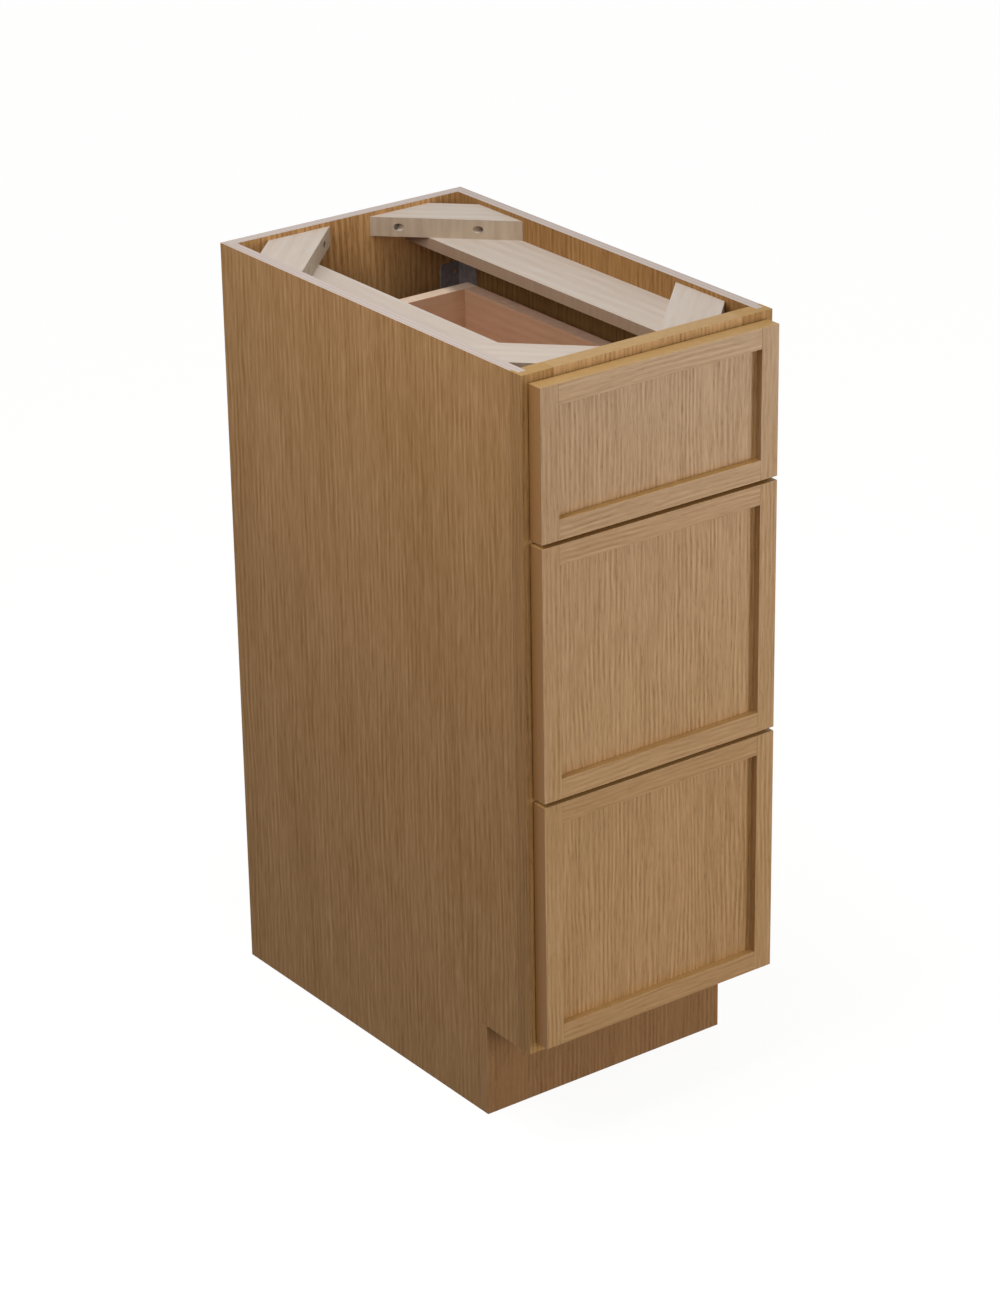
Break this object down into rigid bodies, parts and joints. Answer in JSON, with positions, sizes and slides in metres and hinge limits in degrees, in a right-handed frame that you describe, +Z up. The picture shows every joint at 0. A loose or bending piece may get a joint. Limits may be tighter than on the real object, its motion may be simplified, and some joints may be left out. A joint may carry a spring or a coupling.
{
  "type": "vanity drawer base cabinet",
  "caption": "Narrow framed vanity base cabinet with slim shaker oak drawer fronts, dovetailed boxes on undermount runners, an open braced top and a recessed toe kick.",
  "frame": {"origin": "on the floor, at the middle of the footprint with the drawers closed", "axes": "+Z up, the drawer fronts face -Y, +X to the right of a person facing the fronts"},
  "size_m": [0.3048, 0.5334, 0.8255],
  "materials": {
    "oak_plywood": "oak veneer, satin clear coat",
    "solid_oak": "straight-grained oak, satin clear coat",
    "bracing_wood": "bare sanded poplar",
    "drawer_wood": "clear-coated hardwood",
    "drawer_plywood": "clear-coated thin plywood",
    "zinc_steel": "zinc-plated sheet",
    "screw_steel": "zinc-plated",
    "clip_plastic": "moulded, matt",
    "bumper_rubber": "soft, translucent"
  },
  "bodies": {
    "carcass": {"left_side_panel": "oak_plywood", "right_side_panel": "oak_plywood", "back_panel": "oak_plywood", "bottom_panel": "oak_plywood", "toe_kick_board": "oak_plywood", "frame_left_stile": "solid_oak", "frame_right_stile": "solid_oak", "frame_top_rail": "solid_oak", "frame_upper_rail": "solid_oak", "frame_lower_rail": "solid_oak", "frame_bottom_rail": "solid_oak", "left_top_stretcher": "bracing_wood", "right_top_stretcher": "bracing_wood", "corner_block_rear_left": "bracing_wood", "corner_block_rear_right": "bracing_wood", "corner_block_front_left": "bracing_wood", "corner_block_front_right": "bracing_wood", "corner_block_screws": "screw_steel", "rear_brackets": "zinc_steel", "runner_screws": "screw_steel", "upper_cabinet_runners": "zinc_steel", "middle_cabinet_runners": "zinc_steel", "lower_cabinet_runners": "zinc_steel"},
    "upper_runner_slide": {"upper_intermediate_runners": "zinc_steel"},
    "upper_drawer": {"upper_drawer_runners": "zinc_steel", "upper_box_sides": "drawer_wood", "upper_box_front": "drawer_wood", "upper_box_back": "drawer_wood", "upper_box_bottom": "drawer_plywood", "upper_locking_clips": "clip_plastic", "upper_front_stiles": "solid_oak", "upper_front_rails": "solid_oak", "upper_front_panel": "solid_oak", "upper_front_screws": "screw_steel", "upper_bumpers": "bumper_rubber"},
    "middle_runner_slide": {"middle_intermediate_runners": "zinc_steel"},
    "middle_drawer": {"middle_drawer_runners": "zinc_steel", "middle_box_sides": "drawer_wood", "middle_box_front": "drawer_wood", "middle_box_back": "drawer_wood", "middle_box_bottom": "drawer_plywood", "middle_locking_clips": "clip_plastic", "middle_front_stiles": "solid_oak", "middle_front_rails": "solid_oak", "middle_front_panel": "solid_oak", "middle_front_screws": "screw_steel", "middle_bumpers": "bumper_rubber"},
    "lower_runner_slide": {"lower_intermediate_runners": "zinc_steel"},
    "lower_drawer": {"lower_drawer_runners": "zinc_steel", "lower_box_sides": "drawer_wood", "lower_box_front": "drawer_wood", "lower_box_back": "drawer_wood", "lower_box_bottom": "drawer_plywood", "lower_locking_clips": "clip_plastic", "lower_front_stiles": "solid_oak", "lower_front_rails": "solid_oak", "lower_front_panel": "solid_oak", "lower_front_screws": "screw_steel", "lower_bumpers": "bumper_rubber"}
  },
  "joints": [
    {"name": "upper_drawer_slide", "type": "slide", "parent": "carcass", "child": "upper_drawer", "axis": [0, -1, 0], "range_m": [0, 0.43]},
    {"name": "upper_runner_travel", "type": "slide", "parent": "carcass", "child": "upper_runner_slide", "axis": [0, -1, 0], "range_m": [0, 0.215]},
    {"name": "middle_drawer_slide", "type": "slide", "parent": "carcass", "child": "middle_drawer", "axis": [0, -1, 0], "range_m": [0, 0.43]},
    {"name": "middle_runner_travel", "type": "slide", "parent": "carcass", "child": "middle_runner_slide", "axis": [0, -1, 0], "range_m": [0, 0.215]},
    {"name": "lower_drawer_slide", "type": "slide", "parent": "carcass", "child": "lower_drawer", "axis": [0, -1, 0], "range_m": [0, 0.43]},
    {"name": "lower_runner_travel", "type": "slide", "parent": "carcass", "child": "lower_runner_slide", "axis": [0, -1, 0], "range_m": [0, 0.215]}
  ],
  "couplings": [
    {"joint": "upper_runner_travel", "follows": "upper_drawer_slide", "ratio": 0.5},
    {"joint": "middle_runner_travel", "follows": "middle_drawer_slide", "ratio": 0.5},
    {"joint": "lower_runner_travel", "follows": "lower_drawer_slide", "ratio": 0.5}
  ]
}
